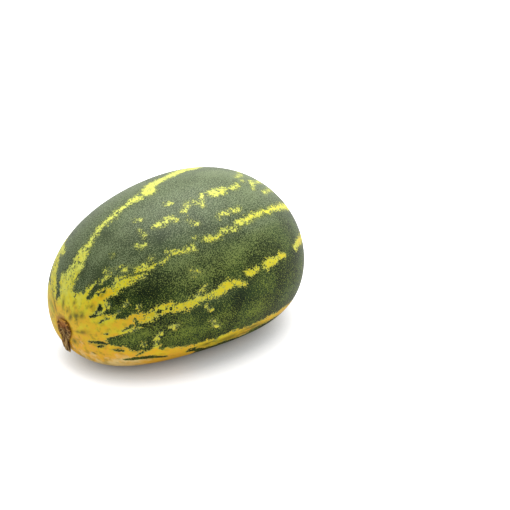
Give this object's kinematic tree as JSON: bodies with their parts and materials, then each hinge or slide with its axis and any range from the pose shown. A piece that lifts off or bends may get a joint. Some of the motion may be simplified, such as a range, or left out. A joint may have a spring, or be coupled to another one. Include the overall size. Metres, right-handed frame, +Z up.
{
  "type": "striped cucumber",
  "caption": "Short, thick cucumber lying on its side, dark green with broken yellow stripes, with a corky blossom scar and a cut stem stub.",
  "frame": {"origin": "under the middle of the part's box, on the surface that it lies on", "axes": "+X from the blossom end to the stem end, along the fruit; +Z up"},
  "size_m": [0.1254, 0.08, 0.0728],
  "materials": {
    "rind": "waxy living rind, dark green with fine light speckles and broken yellow stripes, orange-yellow round the blossom end, soft gloss",
    "cork": "dry brown corky plant tissue, matt and fibrous",
    "stem": "dried olive stem with five ribs and a pale fibrous cut, matt"
  },
  "bodies": {
    "root": {"fruit": "rind", "blossom_scar": "cork", "stem_stub": "stem"}
  },
  "joints": []
}
